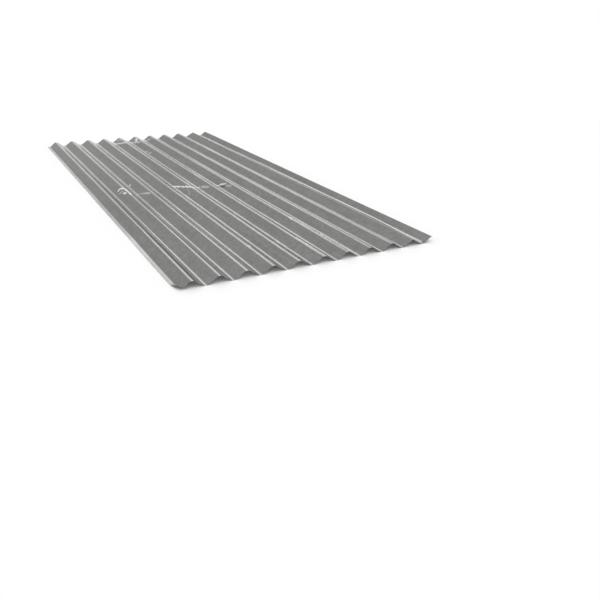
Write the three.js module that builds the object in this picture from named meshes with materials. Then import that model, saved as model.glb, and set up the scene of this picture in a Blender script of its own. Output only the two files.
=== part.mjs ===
// Corrugated galvanised steel sheet, the roofing and cladding stock of 3 in waves.
//
// One strip of steel is roll-formed into round waves: each valley and each crest is an arc, and a straight
// flank runs tangent from one arc to the next. Ten and a half waves lie side by side. The first edge ends in
// the bottom of a valley and the last edge near the top of a crest, so the next sheet laps over it.
//
// Millimetres. X runs across the waves, Y along them and Z up. The sheet lies flat with its valleys on Z = 0,
// and the origin is at the middle of the area that it covers.

import * as THREE from 'three';

// Driving dimensions
const SHEET_LENGTH = 1829; // along the waves, 6 ft
const PITCH = 76.2; // from one crest to the next
const WAVES = 10.5;
const WAVE_DEPTH = 19; // from crest to valley, on the same face
const THICKNESS = 0.5;
const BEND_RADIUS = 17; // of every arc, to the middle of the metal

// Each arc is drawn as flat facets tangent to it. The middle facet is level, and the outermost one on each
// side is part of the flank.
const FACETS_FROM_LEVEL_TO_FLANK = 4;

// The strip's edges lie this many facets before the middle of the first valley and of the last crest.
const EDGE_FACETS = 1.5;

const HALF_PITCH = PITCH / 2;

// The slope of a flank: the line that touches a valley's arc from below and the next crest's arc from above.
function flankAngle() {
  const centreDrop = 2 * BEND_RADIUS - WAVE_DEPTH;
  const betweenCentres = Math.hypot(HALF_PITCH, centreDrop);
  return Math.asin((2 * BEND_RADIUS) / betweenCentres) - Math.atan2(centreDrop, HALF_PITCH);
}

const FACET_ANGLE = flankAngle() / FACETS_FROM_LEVEL_TO_FLANK;

// A corner between two facets of one bend. angle is measured from the middle of the bend, and side is half
// the thickness towards the upper face (+1) or the underside (-1).
function bendCorner(halfWave, angle, side) {
  const isCrest = halfWave % 2 === 1;
  const outward = isCrest ? 1 : -1;
  const cornerRadius = (BEND_RADIUS + (outward * side * THICKNESS) / 2) / Math.cos(FACET_ANGLE / 2);
  const centreHeight = THICKNESS / 2 + (isCrest ? WAVE_DEPTH - BEND_RADIUS : BEND_RADIUS);
  return new THREE.Vector2(
    halfWave * HALF_PITCH + cornerRadius * Math.sin(angle),
    centreHeight + outward * cornerRadius * Math.cos(angle),
  );
}

// One face of the sheet from its first edge to its last, as the corners between its facets.
function facePoints(side) {
  const lastHalfWave = WAVES * 2;
  const points = [];
  for (let halfWave = 0; halfWave <= lastHalfWave; halfWave += 1) {
    const first = halfWave === 0 ? -EDGE_FACETS : 0.5 - FACETS_FROM_LEVEL_TO_FLANK;
    const last = halfWave === lastHalfWave ? -EDGE_FACETS : FACETS_FROM_LEVEL_TO_FLANK - 0.5;
    for (let step = first; step <= last; step += 1) {
      points.push(bendCorner(halfWave, step * FACET_ANGLE, side));
    }
  }
  return points;
}

function sheetGeometry() {
  const upperFace = facePoints(1);
  const underside = facePoints(-1);
  const section = new THREE.Shape([...underside, ...upperFace.reverse()]);
  const geometry = new THREE.ExtrudeGeometry(section, { depth: SHEET_LENGTH, bevelEnabled: false });
  geometry.rotateX(Math.PI / 2);
  geometry.computeBoundingBox();
  const middle = geometry.boundingBox.getCenter(new THREE.Vector3());
  geometry.translate(-middle.x, -middle.y, 0);
  return geometry;
}

const galvanisedSteel = new THREE.MeshStandardMaterial({
  color: 0xb9bcbe,
  roughness: 0.28,
  metalness: 1,
});

const sheet = new THREE.Mesh(sheetGeometry(), galvanisedSteel);
sheet.name = 'corrugated_sheet';

const part = new THREE.Group();
part.add(sheet);

export default part;
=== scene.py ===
"""The looks of a corrugated galvanised steel sheet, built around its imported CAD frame.

Metres, in the CAD part's frame: X runs across the waves, Y along them and Z up. The sheet lies flat, with its
valleys on Z = 0, all but the last one, which handling has pushed up a little.
"""

import math

import bpy
import numpy as np
from mathutils import Matrix, Vector


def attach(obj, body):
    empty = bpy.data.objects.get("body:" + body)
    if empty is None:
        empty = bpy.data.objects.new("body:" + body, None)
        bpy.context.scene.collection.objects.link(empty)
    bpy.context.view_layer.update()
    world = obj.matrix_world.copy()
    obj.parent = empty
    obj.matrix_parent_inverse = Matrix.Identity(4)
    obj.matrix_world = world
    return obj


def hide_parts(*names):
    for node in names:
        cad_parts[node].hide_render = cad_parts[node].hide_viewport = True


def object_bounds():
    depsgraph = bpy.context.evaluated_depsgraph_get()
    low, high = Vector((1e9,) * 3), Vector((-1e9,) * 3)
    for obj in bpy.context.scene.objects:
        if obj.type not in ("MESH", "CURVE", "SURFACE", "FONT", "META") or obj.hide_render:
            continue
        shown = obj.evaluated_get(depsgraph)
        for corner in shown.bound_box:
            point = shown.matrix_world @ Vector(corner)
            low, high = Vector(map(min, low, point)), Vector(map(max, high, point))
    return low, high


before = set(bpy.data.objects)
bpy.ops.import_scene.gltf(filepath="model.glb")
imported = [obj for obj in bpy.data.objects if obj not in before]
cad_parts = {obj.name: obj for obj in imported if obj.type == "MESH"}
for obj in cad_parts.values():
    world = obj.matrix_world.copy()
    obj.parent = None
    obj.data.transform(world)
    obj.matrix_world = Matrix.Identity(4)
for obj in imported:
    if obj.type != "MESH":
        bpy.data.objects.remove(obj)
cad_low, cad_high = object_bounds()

MM = 0.001

# ---------------------------------------------------------------------------------------------------------------
# The sheet's sizes
# ---------------------------------------------------------------------------------------------------------------

PITCH = 76.2 * MM
HALF_PITCH = PITCH / 2
LAST_HALF_WAVE = 21  # half wave 0 is the first valley, 1 the first crest, and so on
THICKNESS = 0.5 * MM
BEND_RADIUS = 17 * MM  # of every arc, to the middle of the metal
LIP_ANGLE = math.radians(13)  # the strip's edges lie this far before the middle of their own bend
FIRST_BEND_RADIUS = 3.0 * MM  # in use the first bend was pressed tighter, and the strip beside it turned up
FIRST_STRIP = 11.0 * MM
FIRST_STRIP_ANGLE = math.radians(9)
LAST_CREST = 19  # the half wave of the last whole crest, which was pressed tighter too
LAST_CREST_RADIUS = 5.0 * MM
WAVE_DEPTH = cad_high.z - cad_low.z - THICKNESS
FIRST_VALLEY_X = cad_low.x + (BEND_RADIUS + THICKNESS / 2) * math.sin(LIP_ANGLE)
NEAR_Y, FAR_Y = cad_low.y, cad_high.y

# How fine the mesh is
ARC_STEPS = 8
FLANK_STEPS = 3
END_ZONE = 160 * MM
END_STATIONS = 26
MIDDLE_STATIONS = 146


def flank_angle(first_radius, second_radius):
    """The slope of the straight flank that touches a valley's arc and the next crest's arc."""
    both = first_radius + second_radius
    centre_drop = both - WAVE_DEPTH
    between_centres = math.hypot(HALF_PITCH, centre_drop)
    return math.asin(both / between_centres) - math.atan2(centre_drop, HALF_PITCH)


FLANK_ANGLE = flank_angle(BEND_RADIUS, BEND_RADIUS)


def bend_radius(half_wave):
    return {0: FIRST_BEND_RADIUS, LAST_CREST: LAST_CREST_RADIUS}.get(half_wave, BEND_RADIUS)


def flank_after(half_wave):
    """The slope of the flank from this bend to the next. The first bend, though tighter, keeps the usual flank."""
    touches_last_crest = LAST_CREST in (half_wave, half_wave + 1)
    return flank_angle(BEND_RADIUS, LAST_CREST_RADIUS if touches_last_crest else BEND_RADIUS)


def strip_section():
    """The middle line of the metal from the left lip to the right lip: x, z and slope of each point."""
    first_middle = FIRST_VALLEY_X + (BEND_RADIUS - FIRST_BEND_RADIUS) * math.tan(FLANK_ANGLE / 2)
    points = []
    for half_wave in range(LAST_HALF_WAVE + 1):
        is_crest = half_wave % 2 == 1
        is_first = half_wave == 0
        radius = bend_radius(half_wave)
        first = -FIRST_STRIP_ANGLE if is_first else -flank_after(half_wave - 1)
        last = -LIP_ANGLE if half_wave == LAST_HALF_WAVE else flank_after(half_wave)
        steps = max(2, round(ARC_STEPS * (last - first) / (2 * FLANK_ANGLE)))
        middle = first_middle if is_first else FIRST_VALLEY_X + half_wave * HALF_PITCH
        arc = []
        for angle in np.linspace(first, last, steps + 1):
            rise = radius * (1 - math.cos(angle))
            z = THICKNESS / 2 + (WAVE_DEPTH - rise if is_crest else rise)
            slope = -angle if is_crest else angle
            arc.append(np.array([middle + radius * math.sin(angle), z, slope]))
        if is_first:
            along_strip = FIRST_STRIP * np.array([-math.cos(first), -math.sin(first), 0])
            points += [arc[0] + along_strip * share for share in (1, 2 / 3, 1 / 3)]
        else:
            foot = points[-1]
            points += [foot + (arc[0] - foot) * share / FLANK_STEPS for share in range(1, FLANK_STEPS)]
        points += arc
    return np.array(points)


def stations():
    """Where the mesh has a row of points along the waves, closer together near the two ends."""
    near = np.linspace(NEAR_Y, NEAR_Y + END_ZONE, END_STATIONS, endpoint=False)
    middle = np.linspace(NEAR_Y + END_ZONE, FAR_Y - END_ZONE, MIDDLE_STATIONS, endpoint=False)
    far = np.linspace(FAR_Y - END_ZONE, FAR_Y, END_STATIONS + 1)
    return np.concatenate([near, middle, far])


# ---------------------------------------------------------------------------------------------------------------
# What handling did to the straight sheet. All in millimetres, as (dx, dz) at a place (x, y).
# ---------------------------------------------------------------------------------------------------------------

# How far the bends lie off their nominal place across the sheet: x, then the shift at the near end and far end.
DRIFT = ((-400, 7.0, 8.6), (-356, 4.2, 2.4), (-316, 2.5, 0.8), (-240, 0.2, -0.3), (-70, 0.9, 0.2), (40, 2.6, 1.0),
         (110, 3.0, 0.9), (180, 2.8, 0.0), (260, 2.2, -1.0), (362, -0.8, -0.8), (400, -0.8, -0.8))
WANDER = 0.45  # the bends run this much to and fro
WANDER_WAVES = (  # share, how long along and across the sheet, and where it starts
    (0.55, 88, 61, 0.7),
    (0.3, 47, -37, 2.1),
    (0.1, 23, 29, 4.0),
)
LEFT_FLANK = (-386, -368)  # x of the first flank's foot and top
CORNER_FROM = -868  # the near left corner is turned up from here on
CORNER_LIFT = 12.0
LAST_FLANKS = (300, 326), (343, 357)  # x of the two flanks beside the last whole crest
RIGHT_FLANK = (376, 394)
RIGHT_LIFT = 7.5  # how far up its flank the last valley is pushed
RIGHT_LIFT_GROWS = (-905, -640)  # y from which and to which it grows to that
RIGHT_LIFT_EASES = (100, 700)  # y from which and to which it loses some of it again
RIGHT_LIFT_LOST = 0.4
DENTS = (  # x, y, half width, half length, depth: small hollows and bumps, mostly at the far end
    (-104, 893, 26, 24, 1.6),
    (-56, 905, 24, 16, -1.3),
    (-16, 893, 24, 20, 0.9),
    (20, 893, 20, 22, -0.8),
    (62, 896, 24, 22, 1.6),
    (96, 868, 30, 18, 1.2),
    (4, 812, 34, 26, 0.6),
    (98, -588, 9, 15, 0.8),
    (-214, -700, 12, 22, 0.35),
    (-376, -850, 9, 26, 0.25),
)


def ease(value, start, end):
    """0 before start, 1 after end and a soft rise in between."""
    share = np.clip((value - start) / (end - start), 0, 1)
    return share * share * (3 - 2 * share)


def drift(x, y):
    """The shift across the sheet, eased from each place of DRIFT to the next."""
    far = (y - NEAR_Y / MM) / ((FAR_Y - NEAR_Y) / MM)
    shift = DRIFT[0][1] + (DRIFT[0][2] - DRIFT[0][1]) * far
    for before, after in zip(DRIFT, DRIFT[1:]):
        near_step = after[1] - before[1]
        far_step = after[2] - before[2]
        shift = shift + (near_step + (far_step - near_step) * far) * ease(x, before[0], after[0])
    return shift


def wander(x, y):
    """A slow to and fro of the bends, a little different for each of them."""
    waves = [share * np.sin(y / along + x / across + start) for share, along, across, start in WANDER_WAVES]
    return WANDER * sum(waves)


def handling(x, y):
    """How far bending moves the point at x, y: dx and dz."""
    dx = drift(x, y) + wander(x, y)
    dz = np.zeros_like(dx)

    along_flank = 1 - ease(x, *LEFT_FLANK)
    lift = CORNER_LIFT * np.clip((CORNER_FROM - y) / (CORNER_FROM - NEAR_Y / MM), 0, 1) ** 2 * along_flank
    dx += lift * math.cos(FLANK_ANGLE)
    dz += lift * math.sin(FLANK_ANGLE)

    kept = 1 - RIGHT_LIFT_LOST * ease(y, *RIGHT_LIFT_EASES)
    lift = RIGHT_LIFT * ease(y, *RIGHT_LIFT_GROWS) * kept * (1 - ease(x, *RIGHT_FLANK))
    dx += lift * math.cos(FLANK_ANGLE) * ease(x, *LAST_FLANKS[0])
    dz += lift * math.sin(FLANK_ANGLE) * ease(x, *LAST_FLANKS[1])
    return dx, dz


def dents(x, y):
    """How far the dents raise the point at x, y."""
    rise = np.zeros_like(x)
    for place_x, place_y, half_width, half_length, depth in DENTS:
        square = ((x - place_x) / half_width) ** 2 + ((y - place_y) / half_length) ** 2
        rise = rise - depth * np.exp(-square * 2)
    return rise


def moved(x, y, z):
    """The handled sheet's point for one of the straight sheet, kept between the floor and the highest crest."""
    dx, dz = handling(x / MM, y / MM)
    low = THICKNESS / 2
    high = low + WAVE_DEPTH
    # near the floor and near the top a dent fades out
    dent = dents(x / MM, y / MM)
    room = np.where(dent > 0, high - z, z - low) / MM
    never_zero = np.maximum(room, 0.01)
    dent = np.sign(dent) * room * np.tanh(np.abs(dent) / never_zero)
    return np.stack([x + dx * MM, y, z + (dz + dent) * MM], axis=-1)


def middle_surface():
    """The middle of the metal as rows of points, one row for each station, and the upward normals there."""
    x, z, slope = strip_section().T
    y = stations()[:, None]
    x, z, slope, y = (np.broadcast_to(values, (len(y), len(x))) for values in (x, z, slope, y))
    step = 0.2 * MM  # to each side of a point, for the slopes there
    step_x = step * np.cos(slope)
    step_z = step * np.sin(slope)
    across = moved(x + step_x, y, z + step_z) - moved(x - step_x, y, z - step_z)
    along = moved(x, y + step, z) - moved(x, y - step, z)
    normals = np.cross(across, along)
    normals /= np.linalg.norm(normals, axis=2, keepdims=True)
    return moved(x, y, z), normals


def sheet_mesh():
    """Both faces of the sheet, THICKNESS apart, and the cut edges that join them."""
    middle, normals = middle_surface()
    rows, columns = middle.shape[:2]
    upper = middle + normals * THICKNESS / 2
    lower = middle - normals * THICKNESS / 2
    points = np.concatenate([upper.reshape(-1, 3), lower.reshape(-1, 3)])
    points[:, 1] = np.clip(points[:, 1], NEAR_Y, FAR_Y)
    top = np.arange(rows * columns).reshape(rows, columns)
    bottom = top + rows * columns

    def quads(a, b, c, d):
        return np.stack([a.ravel(), b.ravel(), c.ravel(), d.ravel()], axis=1)

    upper_faces = quads(top[:-1, :-1], top[:-1, 1:], top[1:, 1:], top[1:, :-1])
    lower_faces = quads(bottom[:-1, :-1], bottom[1:, :-1], bottom[1:, 1:], bottom[:-1, 1:])
    near_edge = quads(top[0, :-1], bottom[0, :-1], bottom[0, 1:], top[0, 1:])
    far_edge = quads(top[-1, :-1], top[-1, 1:], bottom[-1, 1:], bottom[-1, :-1])
    left_edge = quads(top[:-1, 0], top[1:, 0], bottom[1:, 0], bottom[:-1, 0])
    right_edge = quads(top[:-1, -1], bottom[:-1, -1], bottom[1:, -1], top[1:, -1])
    edges = np.concatenate([near_edge, far_edge, left_edge, right_edge])
    faces = np.concatenate([upper_faces, lower_faces, edges])

    mesh = bpy.data.meshes.new("galvanised_sheet")
    mesh.from_pydata(points.tolist(), [], faces.tolist())
    mesh.update()
    smooth = len(upper_faces) + len(lower_faces)
    upper_normals = normals.reshape(-1, 3)
    point_normals = np.concatenate([upper_normals, -upper_normals])
    corner_normals = point_normals[faces[:smooth]].reshape(-1, 3)
    edge_normals = np.array([mesh.polygons[i].normal for i in range(smooth, len(faces))])
    corner_normals = np.concatenate([corner_normals, np.repeat(edge_normals, 4, axis=0)])
    mesh.normals_split_custom_set(corner_normals.tolist())
    mesh.validate()
    return mesh


# ---------------------------------------------------------------------------------------------------------------
# Materials
# ---------------------------------------------------------------------------------------------------------------

# Painted dark reflection: both zinc colours are much greyer than bright zinc, and stand in for the dim
# surroundings that the sheet mirrors.
ZINC_WITH_PAINTED_DARK_REFLECTION = (0.25, 0.25, 0.245)  # about as grey as the photographed sheet's plain parts, among white
DARK_ZINC_WITH_PAINTED_DARK_REFLECTION = (0.185, 0.185, 0.18)  # crystals that lie the other way, and the thin film on old zinc
EDGE_TINT = (0.70, 0.70, 0.70)  # the film dulls what is mirrored at a low angle
CHALK_AND_PAINTED_HIGHLIGHT = (0.78, 0.78, 0.77)  # scuffs, and the pale strokes that are painted highlights
GRIME = (0.05, 0.048, 0.045)

# How much of the second colour the crystals, the film, the streaks of grime and the specks bring
SPANGLE_SHARE = 0.55
FILM_SHARE = 0.35
STREAK_SHARE = 0.10
SPECK_SHARE = 0.75
SCUFF_AND_HIGHLIGHT_METAL_LOSS = 0.85  # a scuff or a painted highlight is this much less metallic

# The plain zinc's roughness, and what the film, the crystals and a scuff or a painted highlight each add to it
ROUGHNESS = 0.09
FILM_ROUGHNESS = 0.06
SPANGLE_ROUGHNESS = 0.03
SCUFF_AND_HIGHLIGHT_ROUGHNESS = 0.40

# How long the blotches of each pattern are, across and along the waves
SPANGLE_SIZE = (11 * MM, 11 * MM * 1.3)
FILM_SIZE = (45 * MM, 160 * MM)
FINE_SIZE = (2.2 * MM, 3.0 * MM)
ROLL_LINE_SIZE = (3.5 * MM, 380 * MM)
STREAK_SIZE = (9 * MM, 500 * MM)
SPECK_SIZE = (7 * MM, 9 * MM)
DIMPLE_SIZE = (16 * MM, 22 * MM)
KNOCK_SIZE = (14 * MM, 12 * MM)

# Where each mask begins, and where it is full. The battered end's is a share of its half width and half length.
FILM_EDGE = (0.42, 0.68)
STREAK_EDGE = (0.45, 0.75)
SPECK_EDGE = (0.55, 0.68)
BATTERED_EDGE = (1.0, 0.45)

# How high the small unevenness is
ROLL_LINE_HEIGHT = 0.022 * MM
DIMPLE_HEIGHT = 0.030 * MM
GRAIN_HEIGHT = 0.006 * MM
KNOCK_HEIGHT = 1.2 * MM

# A stroke of a scuff, in half widths: how far its edge wanders, and where it fades out and is full
STROKE_RAGGED = 1.6
STROKE_OUTSIDE = 2.1
STROKE_INSIDE = 1.1
WOBBLE_SIZE = 13 * MM
WOBBLE_REACH = 11 * MM

# Scuffs and painted highlights as strokes, in millimetres: from x, y to x, y, the half width, and how pale it is.
SCUFFS_AND_PAINTED_HIGHLIGHTS = (
    (-300, -10, -291, -3, 4.8, 1.0),  # a small patch of scratches
    (-292, -5, -284, -18, 5.6, 1.0),
    (-301, -38, -293, -40, 3.2, 0.9),
    (-293, -60, -289, -76, 3.6, 0.9),
    (-281, -28, -278, -62, 4.0, 1.0),
    (-278, -62, -280, -112, 3.0, 0.9),
    (-238, 66, -233, 78, 3.4, 0.8),
    (-258, -68, -241, -52, 3.0, 0.45),  # a scrape beside it
    (-236, -58, -230, -68, 2.6, 0.35),
    (-227, -74, -213, -114, 3.6, 0.55),
    (-106, -20, -97, -8, 3.2, 0.7),  # a long scrape over three waves
    (-88, 2, -74, -42, 3.6, 1.0),
    (-74, -42, -58, -98, 3.4, 1.0),
    (-57, -94, -44, -116, 5.0, 1.0),
    (-24, -58, -6, -54, 3.8, 0.6),
    (-1, -66, 10, -106, 5.4, 0.4),
    (38, -94, 46, -76, 3.8, 0.8),
    (52, -62, 68, -55, 3.6, 0.65),
    (73, -60, 88, -86, 4.2, 0.8),
    (82, -104, 90, -132, 5.5, 0.28),
    (-68, -106, -81, -153, 1.8, 0.25),
    (108, -576, 110, -930, 3.6, 0.75),  # painted highlights: pale strokes beside crests and a valley up to the near end, for the bright lines those bends mirror
    (134, -566, 135, -930, 3.4, 0.7),
    (31, -744, 31, -930, 3.4, 0.75),
    (100, -572, 104, -584, 3.2, 0.9),  # specks on the crests
    (-126, -750, -125, -758, 3.0, 0.8),
    (-34, -730, -30, -738, 2.6, 0.7),
    (-14, -712, -12, -720, 2.6, 0.6),
    (-92, 880, -72, 826, 6.0, 0.65),  # scraped across near the far end
    (-72, 826, -56, 784, 6.0, 0.65),
    (-14, 866, -3, 842, 5.5, 0.6),
    (-3, 842, 14, 796, 5.5, 0.6),
    (64, 884, 82, 866, 9.0, 0.4),
    (-70, 888, -59, 878, 4.0, 0.8),
    (-55, 894, -52, 880, 4.0, 0.8),
    (15, 868, 9, 838, 6.0, 1.0),
    (-7, 640, -2, 618, 3.0, 0.4),
    (-6, 598, 1, 572, 3.2, 0.45),
)
PAINTED_VALLEY_HIGHLIGHT = (  # painted highlight: a pale stroke along the bottom of the last valley
    (372, -900, 372, -470, 2.8, 0.6),
    (372, -560, 372, 100, 2.4, 0.4),
)
NOTCH = (71, -84, 78, -104, 2.8, 1.0)  # a dark nick where the long scrape ends
BATTERED = (-20, 868, 150, 62)  # x, y, half width and half length of the battered far end


class NodeBuilder:
    """Adds and links the nodes of one node tree."""

    def __init__(self, tree):
        self.tree = tree
        tree.nodes.clear()

    def add(self, kind, inputs=(), **settings):
        node = self.tree.nodes.new(kind)
        for name, value in settings.items():
            setattr(node, name, value)
        for socket, value in dict(inputs).items():
            if isinstance(value, bpy.types.NodeSocket):
                self.tree.links.new(value, node.inputs[socket])
            else:
                node.inputs[socket].default_value = value
        return node

    def math(self, operation, *values):
        return self.add("ShaderNodeMath", enumerate(values), operation=operation).outputs[0]

    def smooth_step(self, value, start, end):
        """0 before start, 1 after end and a soft rise in between."""
        inputs = {"Value": value, "From Min": start, "From Max": end}
        node = self.add("ShaderNodeMapRange", inputs, interpolation_type="SMOOTHSTEP", clamp=True)
        return node.outputs["Result"]

    def mix(self, factor, first, second):
        """The first colour where factor is 0 and the second where it is 1."""
        node = self.add("ShaderNodeMix", data_type="RGBA")
        # a colour mix has its factor in socket 0 and its colours in 6 and 7, and gives the result in 2
        for socket, value in ((0, factor), (6, first), (7, second)):
            if isinstance(value, bpy.types.NodeSocket):
                self.tree.links.new(value, node.inputs[socket])
            elif socket == 0:
                node.inputs[socket].default_value = value
            else:
                node.inputs[socket].default_value = (*value, 1)
        return node.outputs[2]


def scaled(nodes, place, across, along):
    """The place with its x and z divided by one length and its y by another, in metres."""
    return nodes.add("ShaderNodeVectorMath", {0: place, 1: (1 / across, 1 / along, 1 / across)},
                     operation="MULTIPLY").outputs[0]


def noise(nodes, place, across, along, detail=3.0):
    """Soft noise between about 0.25 and 0.75, of blotches so long across and along the waves."""
    settings = {"Vector": scaled(nodes, place, across, along), "Scale": 1.0, "Detail": detail}
    return nodes.add("ShaderNodeTexNoise", settings).outputs["Fac"]


def wobbled(nodes, place, size, reach):
    """The place moved to and fro by up to about half the reach, so that straight strokes on it run unevenly."""
    settings = {"Vector": scaled(nodes, place, size, size), "Scale": 1.0, "Detail": 2.0}
    shift = nodes.add("ShaderNodeTexNoise", settings).outputs["Color"]
    shift = nodes.add("ShaderNodeVectorMath", {0: shift, 1: (0.5, 0.5, 0.5)}, operation="SUBTRACT").outputs[0]
    shift = nodes.add("ShaderNodeVectorMath", {0: shift, 1: (reach, reach, 0)}, operation="MULTIPLY").outputs[0]
    return nodes.add("ShaderNodeVectorMath", {0: place, 1: shift}, operation="ADD").outputs[0]


def stroke(nodes, flat_place, edge, start_x, start_y, end_x, end_y, half_width, strength):
    """A straight stroke with round ends and a ragged edge: strength in its middle and 0 outside."""
    start = Vector((start_x, start_y, 0)) * MM
    run = Vector((end_x, end_y, 0)) * MM - start
    offset = nodes.add("ShaderNodeVectorMath", {0: flat_place, 1: start}, operation="SUBTRACT").outputs[0]
    share = nodes.add("ShaderNodeVectorMath", {0: offset, 1: run / run.length_squared},
                      operation="DOT_PRODUCT").outputs["Value"]
    share = nodes.add("ShaderNodeClamp", {"Value": share}).outputs[0]
    nearest = nodes.add("ShaderNodeVectorMath", {0: run, "Scale": share}, operation="SCALE").outputs[0]
    distance = nodes.add("ShaderNodeVectorMath", {0: offset, 1: nearest}, operation="DISTANCE").outputs["Value"]
    ragged = nodes.math("MULTIPLY_ADD", edge, half_width * MM * STROKE_RAGGED, distance)
    mask = nodes.smooth_step(ragged, half_width * MM * STROKE_OUTSIDE, half_width * MM * STROKE_INSIDE)
    return nodes.math("MULTIPLY", mask, strength)


def bump(nodes, height, distance, normal=None):
    """The normal that an unevenness gives, this high where height is 1, on top of another normal."""
    inputs = {"Height": height, "Strength": 1.0, "Distance": distance}
    if normal is not None:
        inputs["Normal"] = normal
    return nodes.add("ShaderNodeBump", inputs).outputs[0]


def galvanised_steel():
    """Zinc in crystals, greyed by a painted dark reflection, with roll lines along the waves, a thin film in
    patches, scuffs, painted highlights and grime.
    """
    material = bpy.data.materials.new("galvanised_steel")
    material.use_nodes = True
    nodes = NodeBuilder(material.node_tree)
    place = nodes.add("ShaderNodeTexCoord").outputs["Object"]
    flat_place = nodes.add("ShaderNodeVectorMath", {0: place, 1: (1.0, 1.0, 0.0)}, operation="MULTIPLY").outputs[0]

    crystals = {"Vector": scaled(nodes, place, *SPANGLE_SIZE), "Scale": 1.0}
    spangle = nodes.add("ShaderNodeTexVoronoi", crystals).outputs["Color"]
    spangle = nodes.add("ShaderNodeSeparateColor", {0: spangle}).outputs[0]
    film = nodes.smooth_step(noise(nodes, place, *FILM_SIZE), *FILM_EDGE)
    fine = noise(nodes, place, *FINE_SIZE, detail=4.0)
    roll_lines = noise(nodes, place, *ROLL_LINE_SIZE, detail=2.0)
    streaks = nodes.smooth_step(noise(nodes, place, *STREAK_SIZE), *STREAK_EDGE)

    # Scuffs and painted highlights, and the battered far end with its scratches and specks
    uneven_place = wobbled(nodes, flat_place, WOBBLE_SIZE, WOBBLE_REACH)
    scuffs_and_highlights = None
    for numbers in SCUFFS_AND_PAINTED_HIGHLIGHTS:
        mark = stroke(nodes, uneven_place, fine, *numbers)
        scuffs_and_highlights = mark if scuffs_and_highlights is None else nodes.math("MAXIMUM", scuffs_and_highlights, mark)
    for numbers in PAINTED_VALLEY_HIGHLIGHT:
        scuffs_and_highlights = nodes.math("MAXIMUM", scuffs_and_highlights, stroke(nodes, flat_place, fine, *numbers))
    middle_x, middle_y, half_width, half_length = (value * MM for value in BATTERED)
    offset = nodes.add("ShaderNodeVectorMath", {0: flat_place, 1: (middle_x, middle_y, 0)},
                       operation="SUBTRACT").outputs[0]
    offset = nodes.add("ShaderNodeVectorMath", {0: offset, 1: (1 / half_width, 1 / half_length, 0)},
                       operation="MULTIPLY").outputs[0]
    distance = nodes.add("ShaderNodeVectorMath", {0: offset}, operation="LENGTH").outputs["Value"]
    battered = nodes.smooth_step(distance, *BATTERED_EDGE)
    specks = nodes.smooth_step(noise(nodes, place, *SPECK_SIZE, detail=5.0), *SPECK_EDGE)
    specks = nodes.math("MULTIPLY", nodes.math("MULTIPLY", specks, battered), SPECK_SHARE)
    scuffs_and_highlights = nodes.math("MAXIMUM", scuffs_and_highlights, specks)
    notch = stroke(nodes, flat_place, fine, *NOTCH)

    colour = nodes.mix(nodes.math("MULTIPLY", spangle, SPANGLE_SHARE), ZINC_WITH_PAINTED_DARK_REFLECTION, DARK_ZINC_WITH_PAINTED_DARK_REFLECTION)
    colour = nodes.mix(nodes.math("MULTIPLY", film, FILM_SHARE), colour, DARK_ZINC_WITH_PAINTED_DARK_REFLECTION)
    colour = nodes.mix(nodes.math("MULTIPLY", streaks, STREAK_SHARE), colour, GRIME)
    # the pale strokes hold painted highlights as well as real scuffs
    colour = nodes.mix(scuffs_and_highlights, colour, CHALK_AND_PAINTED_HIGHLIGHT)
    colour = nodes.mix(notch, colour, GRIME)

    rough = nodes.math("MULTIPLY_ADD", film, FILM_ROUGHNESS, ROUGHNESS)
    rough = nodes.math("MULTIPLY_ADD", spangle, SPANGLE_ROUGHNESS, rough)
    rough = nodes.math("MULTIPLY_ADD", scuffs_and_highlights, SCUFF_AND_HIGHLIGHT_ROUGHNESS, rough)
    metallic = nodes.math("MULTIPLY_ADD", scuffs_and_highlights, -SCUFF_AND_HIGHLIGHT_METAL_LOSS, 1.0)

    dimples = noise(nodes, place, *DIMPLE_SIZE, detail=2.0)
    knocks = nodes.math("MULTIPLY", noise(nodes, place, *KNOCK_SIZE), battered)
    normal = bump(nodes, roll_lines, ROLL_LINE_HEIGHT)
    normal = bump(nodes, dimples, DIMPLE_HEIGHT, normal)
    normal = bump(nodes, fine, GRAIN_HEIGHT, normal)
    normal = bump(nodes, knocks, KNOCK_HEIGHT, normal)

    inputs = {"Base Color": colour, "Metallic": metallic, "Roughness": rough, "Normal": normal,
              "Specular Tint": (*EDGE_TINT, 1)}
    shader = nodes.add("ShaderNodeBsdfPrincipled", inputs)
    nodes.add("ShaderNodeOutputMaterial", {"Surface": shader.outputs[0]})
    return material


# ---------------------------------------------------------------------------------------------------------------
# The floor and the light
# ---------------------------------------------------------------------------------------------------------------

FLOOR_HALF = 6.0  # half the length of its side
FLOOR_COLOUR = (0.95, 0.95, 0.95)
FLOOR_GLOW = 0.06  # added for the camera and in the metal, so that the open floor is white
FADE_START = 1.4  # from here the floor turns to the backdrop's white
FADE_END = 3.2
FILL_LEVEL = 0.78  # the even light from all sides on matt surfaces
WHITE = (1, 1, 1, 1)

# The soft lamp shines from above, on the left, and gives the sheet its shadow. The other two shine from behind, on
# the right, and show as bright lines in the bends.
LAMPS = (  # name, where its light goes, how bright it is, and how wide it looks in degrees
    ("soft_lamp", (0.55, 0.35, -1.0), 0.22, 40),
    ("edge_lamp", (-0.41, -0.82, -0.41), 0.065, 24),
    ("low_lamp", (-0.22, -0.95, -0.22), 0.014, 15),
)


def shows_background(nodes):
    """1 for what the camera sees and the metal mirrors, and 0 for the light on matt surfaces."""
    seen = nodes.add("ShaderNodeLightPath").outputs
    mirrored = nodes.math("MAXIMUM", seen["Is Glossy Ray"], seen["Is Transmission Ray"])
    return nodes.math("MAXIMUM", seen["Is Camera Ray"], mirrored)


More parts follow.
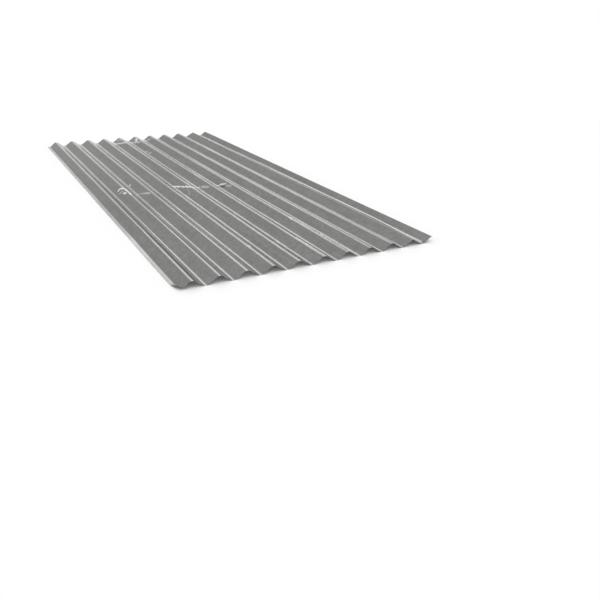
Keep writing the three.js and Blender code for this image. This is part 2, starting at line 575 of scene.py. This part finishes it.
def make_world():
    """A plain white backdrop, to the camera and in the metal, and even light on matt surfaces."""
    world = bpy.data.worlds.new("studio")
    bpy.context.scene.world = world
    world.use_nodes = True
    world.cycles.sampling_method = "NONE"  # no ray is aimed at the world, so each meets what its own kind sees
    nodes = NodeBuilder(world.node_tree)
    level = nodes.math("MULTIPLY_ADD", shows_background(nodes), 1 - FILL_LEVEL, FILL_LEVEL)
    background = nodes.add("ShaderNodeBackground", {"Color": WHITE, "Strength": level})
    nodes.add("ShaderNodeOutputWorld", {"Surface": background.outputs[0]})


def make_floor():
    """A pale matt floor that takes the shadow, and turns to the backdrop's white further out."""
    mesh = bpy.data.meshes.new("floor")
    corners = [(sx * FLOOR_HALF, sy * FLOOR_HALF, 0) for sx, sy in ((-1, -1), (1, -1), (1, 1), (-1, 1))]
    mesh.from_pydata(corners, [], [(0, 1, 2, 3)])
    floor = bpy.data.objects.new("floor", mesh)
    bpy.context.scene.collection.objects.link(floor)

    material = bpy.data.materials.new("pale_floor")
    material.use_nodes = True
    nodes = NodeBuilder(material.node_tree)
    place = nodes.add("ShaderNodeTexCoord").outputs["Object"]
    distance = nodes.add("ShaderNodeVectorMath", {0: place}, operation="LENGTH").outputs["Value"]
    shown = shows_background(nodes)
    fade = nodes.math("MULTIPLY", nodes.smooth_step(distance, FADE_START, FADE_END), shown)
    matt = nodes.add("ShaderNodeBsdfDiffuse", {"Color": (*FLOOR_COLOUR, 1)})
    white = nodes.add("ShaderNodeEmission", {"Color": WHITE, "Strength": 1.0})
    glow_strength = nodes.math("MULTIPLY", shown, FLOOR_GLOW)
    glow = nodes.add("ShaderNodeEmission", {"Color": WHITE, "Strength": glow_strength})
    lit = nodes.add("ShaderNodeAddShader", {0: matt.outputs[0], 1: glow.outputs[0]})
    both = nodes.add("ShaderNodeMixShader", {0: fade, 1: lit.outputs[0], 2: white.outputs[0]})
    nodes.add("ShaderNodeOutputMaterial", {"Surface": both.outputs[0]})
    mesh.materials.append(material)


def make_lamp(name, towards, level, width):
    """A soft lamp far away. towards is where its light goes, and width how wide it looks, in degrees."""
    light = bpy.data.lights.new(name, "SUN")
    light.energy = level * math.pi
    light.angle = math.radians(width)
    lamp = bpy.data.objects.new(name, light)
    lamp.rotation_euler = Vector(towards).to_track_quat("-Z", "Y").to_euler()
    bpy.context.scene.collection.objects.link(lamp)


# ---------------------------------------------------------------------------------------------------------------
# The camera
# ---------------------------------------------------------------------------------------------------------------

CAMERA_PLACE = Vector((-0.8082, -2.2281, 0.6254))
HEADING = 30.01  # degrees from +Y towards +X
DIP = 25.44  # degrees below the horizon
ROLL = 1.49
LENS = 36.86  # in mm, as is the sensor's width
SENSOR = 36.0


def make_camera():
    """The camera of the photograph, as fitted to the sheet's bends and ends."""
    data = bpy.data.cameras.new("camera")
    data.lens = LENS
    data.sensor_width = SENSOR
    camera = bpy.data.objects.new("camera", data)
    heading, dip, roll = (math.radians(angle) for angle in (HEADING, DIP, ROLL))
    forward = Vector((math.sin(heading) * math.cos(dip), math.cos(heading) * math.cos(dip), -math.sin(dip)))
    level_right = Vector((math.cos(heading), -math.sin(heading), 0))
    level_up = level_right.cross(forward)
    right = math.cos(roll) * level_right + math.sin(roll) * level_up
    up = right.cross(forward)
    rotation = Matrix((right, up, -forward)).transposed()
    camera.matrix_world = Matrix.Translation(CAMERA_PLACE) @ rotation.to_4x4()
    bpy.context.scene.collection.objects.link(camera)
    bpy.context.scene.camera = camera


# ---------------------------------------------------------------------------------------------------------------
# The scene
# ---------------------------------------------------------------------------------------------------------------

sheet = bpy.data.objects.new("galvanised_sheet", sheet_mesh())
bpy.context.scene.collection.objects.link(sheet)
sheet.data.materials.append(galvanised_steel())
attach(sheet, "root")
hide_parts("corrugated_sheet")

make_world()
make_floor()
for lamp_settings in LAMPS:
    make_lamp(*lamp_settings)
make_camera()

bpy.context.scene.view_settings.view_transform = "Standard"
